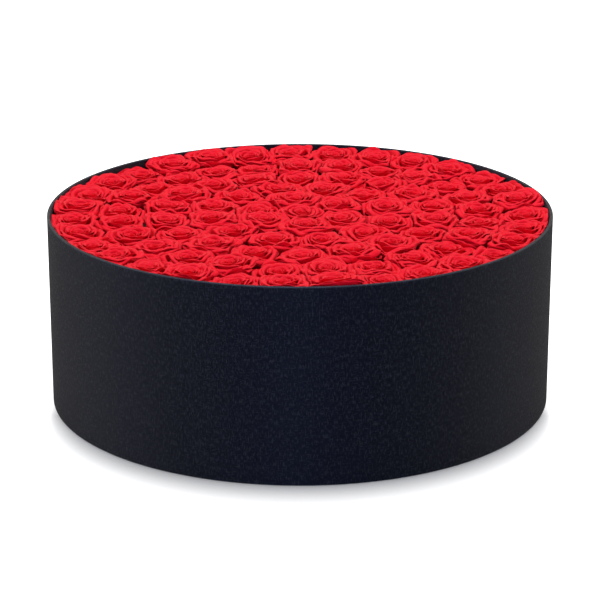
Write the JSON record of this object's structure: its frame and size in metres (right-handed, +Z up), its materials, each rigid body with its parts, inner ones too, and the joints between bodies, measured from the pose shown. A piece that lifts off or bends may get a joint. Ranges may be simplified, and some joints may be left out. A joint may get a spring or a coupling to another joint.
{
  "type": "flower box",
  "caption": "Large round lidless flower box: a linen-textured paper-covered drum packed to the rim with red preserved rose heads on a lift-out insert.",
  "frame": {"origin": "centre of the underside, on the surface the box stands on", "axes": "+Z up along the axis of the drum, -Y towards the viewer, +X to the right"},
  "size_m": [0.5, 0.4998, 0.193],
  "materials": {
    "wrap_paper": "matte",
    "lining_paper": "matte",
    "greyboard": "matte",
    "riser_board": "matte",
    "foam": "matte",
    "petals": "matte",
    "calyx": "matte",
    "pick_wood": "matte"
  },
  "bodies": {
    "box": {"wall_board": "greyboard", "base_board": "greyboard", "outer_wrap": "wrap_paper", "inner_lining": "lining_paper", "floor_lining": "lining_paper", "base_paper": "wrap_paper"},
    "insert": {"riser_front": "riser_board", "riser_middle": "riser_board", "riser_rear": "riser_board", "riser_left": "riser_board", "riser_centre": "riser_board", "riser_right": "riser_board", "support_disc": "riser_board", "foam_bed": "foam", "blooms_1": "petals", "blooms_2": "petals", "blooms_3": "petals", "blooms_4": "petals", "blooms_5": "petals", "blooms_6": "petals", "blooms_7": "petals", "blooms_8": "petals", "calyxes_1": "calyx", "calyxes_2": "calyx", "calyxes_3": "calyx", "calyxes_4": "calyx", "calyxes_5": "calyx", "calyxes_6": "calyx", "calyxes_7": "calyx", "calyxes_8": "calyx", "picks_1": "pick_wood", "picks_2": "pick_wood", "picks_3": "pick_wood", "picks_4": "pick_wood", "picks_5": "pick_wood", "picks_6": "pick_wood", "picks_7": "pick_wood", "picks_8": "pick_wood"}
  },
  "joints": [
    {"name": "insert_lift", "type": "slide", "parent": "box", "child": "insert", "axis": [0, 0, 1], "range_m": [0, 0.2]}
  ]
}
